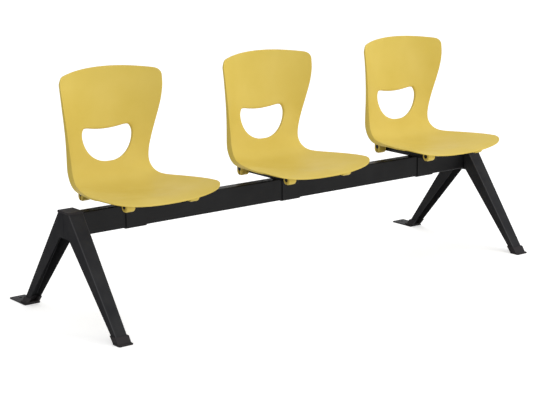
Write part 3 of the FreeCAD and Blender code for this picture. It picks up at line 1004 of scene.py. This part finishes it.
# The level part runs from ARM_LEVEL to ARM_TOP, and the tips end ARM_TIP above the middle of the tubes.
ARM_LEVEL = 393.5
ARM_TOP = 409.0
ARM_TIP = 5.0
ARM_EDGE = 0.8
FACING_UP = 0.7

beam_edge = (beam_high.y - beam_low.y) / 2 / MM
tube_low, tube_high = TUBE_BOXES["rear"]
tube_radius = (tube_high.z - tube_low.z) / 2 / MM


def pressed_arm():
    """A hollow bar from tube to tube, level over the beam and lifted at both ends."""
    front, rear = TUBES["front"], TUBES["rear"]
    bar = block(-ARM_WIDTH / 2, ARM_WIDTH / 2, front[0], rear[0], ARM_LEVEL, ARM_TOP)
    bpy.ops.object.mode_set(mode="EDIT")
    for y in (-beam_edge, beam_edge):
        bpy.ops.mesh.select_all(action="SELECT")
        bpy.ops.mesh.bisect(plane_co=(0, y * MM, 0), plane_no=(0, 1, 0))
    bpy.ops.object.mode_set(mode="OBJECT")
    for point in bar.data.vertices:
        for tube_y, tube_z in (front, rear):
            on_top = point.co.z > (ARM_TOP - HAIR) * MM
            if on_top and abs(point.co.y - tube_y * MM) < HAIR * MM:
                point.co.z = (tube_z + ARM_TIP) * MM
    bar.data.update()
    select_only(bar, "polygons", lambda face: face.normal.z > FACING_UP)
    bpy.ops.object.mode_set(mode="EDIT")
    bpy.ops.mesh.select_mode(type="FACE")
    bpy.ops.mesh.inset(thickness=ARM_SHEET * MM, depth=0)
    drop = (ARM_LEVEL + ARM_SHEET - ARM_TOP) * MM
    bpy.ops.mesh.extrude_region_move(TRANSFORM_OT_translate={"value": (0, 0, drop)})
    bpy.ops.object.mode_set(mode="OBJECT")
    for tube_y, tube_z in (front, rear):
        cut_away(bar, lying_cylinder(tube_radius, ARM_WIDTH * 2, 0, tube_y, tube_z))
    soften_edges(bar, ARM_EDGE, sharper_than=40, material=beam_coat)
    return bar


arm_pattern = pressed_arm()
print("arm faces:", len(arm_pattern.data.polygons))

# %% Yoke
YOKE_HALF_WIDTH = 52.0
YOKE_HEIGHT = 13.0
RAIL_DEPTH = 14.0
RAIL_SUNK = 1.0
RAIL_BELOW_ARM = 2.0


def yoke():
    """A saddle on the beam, with a rail on each side that reaches from arm to arm."""
    half_inside = (ARM_SPACING - ARM_WIDTH) / 2
    beam_top = beam_high.z / MM
    saddle_top = beam_top + YOKE_HEIGHT
    rail_low, rail_high = saddle_top - RAIL_SUNK, ARM_TOP - RAIL_BELOW_ARM
    saddle = block(-YOKE_HALF_WIDTH, YOKE_HALF_WIDTH, -beam_edge, beam_edge, beam_top, saddle_top)
    rails = [block(-half_inside, half_inside, near_y, near_y + RAIL_DEPTH, rail_low, rail_high)
             for near_y in (-beam_edge, beam_edge - RAIL_DEPTH)]
    work_on(saddle)
    for rail in rails:
        rail.select_set(True)
    bpy.ops.object.join()
    soften_edges(saddle, ARM_EDGE, sharper_than=40, material=beam_coat)
    return saddle


yoke_pattern = yoke()
print("yoke faces:", len(yoke_pattern.data.polygons))

# %% Arms and yokes in their places
for seat in SEATS:
    x = seat_middle(seat)
    half = ARM_SPACING / 2 * MM
    place_copy(yoke_pattern, f"yoke_{seat}", x, f"crosshead_{seat}")
    place_copy(arm_pattern, f"pressed_arm_outer_{seat}", x - half, f"arm_outer_{seat}")
    place_copy(arm_pattern, f"pressed_arm_inner_{seat}", x + half, f"arm_inner_{seat}")
for pattern in (arm_pattern, yoke_pattern):
    bpy.data.objects.remove(pattern)
print("arms:", 2 * len(SEATS), "yokes:", len(SEATS))

# %% [markdown]
# ## Floor
# A product photograph stands its object on a white sweep. A white floor alone would need so much light
# that a pale shell would clip. Here the floor is a plain pale grey that lights the object as paper
# would, and it glows only where the camera looks at it, straight or by way of a mirror or glass. So it
# comes out white, and still keeps the soft shadow of the feet.

# %% Pale floor
FLOOR_SIZE = 40.0
FLOOR_BELOW_SOLES = 0.5
FLOOR_GLOW = 0.5


def seen_directly(tree):
    """1 where the camera looks, straight or by a mirror or glass, else 0."""
    rays = add_node(tree, "ShaderNodeLightPath").outputs
    total = rays["Is Camera Ray"]
    for kind in ("Is Glossy Ray", "Is Transmission Ray"):
        either = add_node(tree, "ShaderNodeMath", {0: total, 1: rays[kind]}, operation="MAXIMUM")
        total = either.outputs["Value"]
    return total


bpy.ops.mesh.primitive_plane_add(size=FLOOR_SIZE, location=(0, 0, -FLOOR_BELOW_SOLES * MM))
floor = bpy.context.object
floor.name = "floor"
floor_paint, floor_tree, floor_shader = new_material(
    "pale_floor", Base_Color=linear("#e2e2e2"), Roughness=0.9, Specular_IOR_Level=0.1,
    Emission_Color=(1, 1, 1, 1))
glow_range = {"Value": seen_directly(floor_tree), "To Min": 0, "To Max": FLOOR_GLOW}
floor_glow = add_node(floor_tree, "ShaderNodeMapRange", glow_range).outputs["Result"]
floor_tree.links.new(floor_glow, floor_shader.inputs["Emission Strength"])
floor.data.materials.append(floor_paint)
print("floor width in m:", FLOOR_SIZE)

# %% [markdown]
# ## Soft light
# The world gives an even pale light, stronger from the front right and above, as from a large soft box
# there. A broad low lamp in front fills the backs, and two weaker ones pick out the pans and the top
# edges. Brighter lamps would be simpler, but a pale shell would clip. The camera and mirrors see the
# world white, as they do the floor.

# %% World
# The direction towards the bright side, and the strength of the light from the dark and bright sides.
BRIGHT_SIDE = (0.5, -0.45, 0.74)
DIM = 0.3
BRIGHT = 1.0

world = bpy.data.worlds.new("studio")
bpy.context.scene.world = world
world.use_nodes = True
sky = world.node_tree
background = sky.nodes["Background"]
towards = add_node(sky, "ShaderNodeTexCoord").outputs["Generated"]
sides = {0: towards, 1: BRIGHT_SIDE}
facing = add_node(sky, "ShaderNodeVectorMath", sides, operation="DOT_PRODUCT").outputs["Value"]
shading = {"Value": facing, "From Min": -1, "From Max": 1, "To Min": DIM, "To Max": BRIGHT}
glow = add_node(sky, "ShaderNodeMapRange", shading).outputs["Result"]
white_for_camera = {"Value": seen_directly(sky), "To Min": glow, "To Max": 1.0}
strength = add_node(sky, "ShaderNodeMapRange", white_for_camera).outputs["Result"]
sky.links.new(strength, background.inputs["Strength"])
background.inputs["Color"].default_value = (1, 1, 1, 1)
print("world light from", DIM, "to", BRIGHT)

# %% Lamps
# Each row: name, place and target in metres, width in metres, power in watts.
LAMPS = [
    ("key", (1.5, -4.9, 1.0), (0, 0, 0.6), 1.6, 80),
    ("top", (1.6, 0.2, 3.2), (0.7, -0.2, 0.45), 1.6, 20),
    ("edge", (-2.8, -3.2, 3.6), (0, 0, 0.4), 1.0, 4),
]
for name, place, target, width, power in LAMPS:
    data = bpy.data.lights.new(name, "AREA")
    data.size = width
    data.energy = power
    light = bpy.data.objects.new(name, data)
    bpy.context.scene.collection.objects.link(light)
    aim = Vector(target) - Vector(place)
    light.rotation_euler = aim.to_track_quat("-Z", "Y").to_euler()
    light.location = place
print("lamps:", len(LAMPS))
